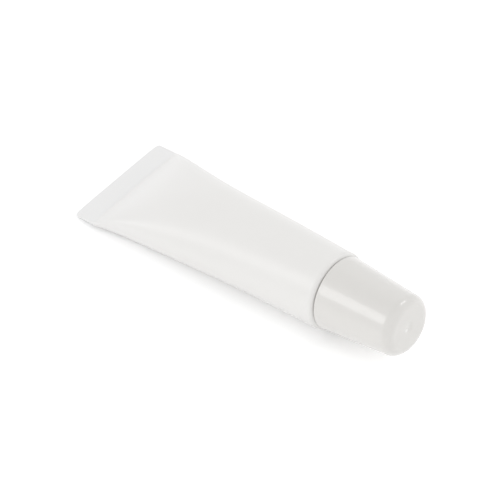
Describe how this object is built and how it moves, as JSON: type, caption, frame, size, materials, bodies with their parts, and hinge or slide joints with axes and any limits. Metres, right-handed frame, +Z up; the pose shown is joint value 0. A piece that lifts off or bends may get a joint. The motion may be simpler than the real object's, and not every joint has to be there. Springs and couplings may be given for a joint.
{
  "type": "lip balm tube",
  "caption": "White squeeze tube for lip balm, pressed flat and sealed at one end, with a slanted applicator tip under a tapered glossy cap.",
  "frame": {"origin": "middle of the bounding box, on the surface that the tube lies on", "axes": "+X along the tube from the seal to the cap, +Y across the seal, +Z up"},
  "size_m": [0.0886, 0.0294, 0.02],
  "materials": {
    "sleeve_satin": "satin",
    "head_satin": "satin",
    "tip_soft": "satin",
    "cap_gloss": "gloss",
    "balm": "satin"
  },
  "bodies": {
    "tube": {"sleeve": "sleeve_satin", "tube_head": "head_satin", "applicator_tip": "tip_soft", "balm_fill": "balm"},
    "cap": {"cap": "cap_gloss"}
  },
  "joints": [
    {"name": "cap_pull", "type": "slide", "parent": "tube", "child": "cap", "axis": [0.9902, 0, 0.1393], "range_m": [0, 0.026]}
  ]
}
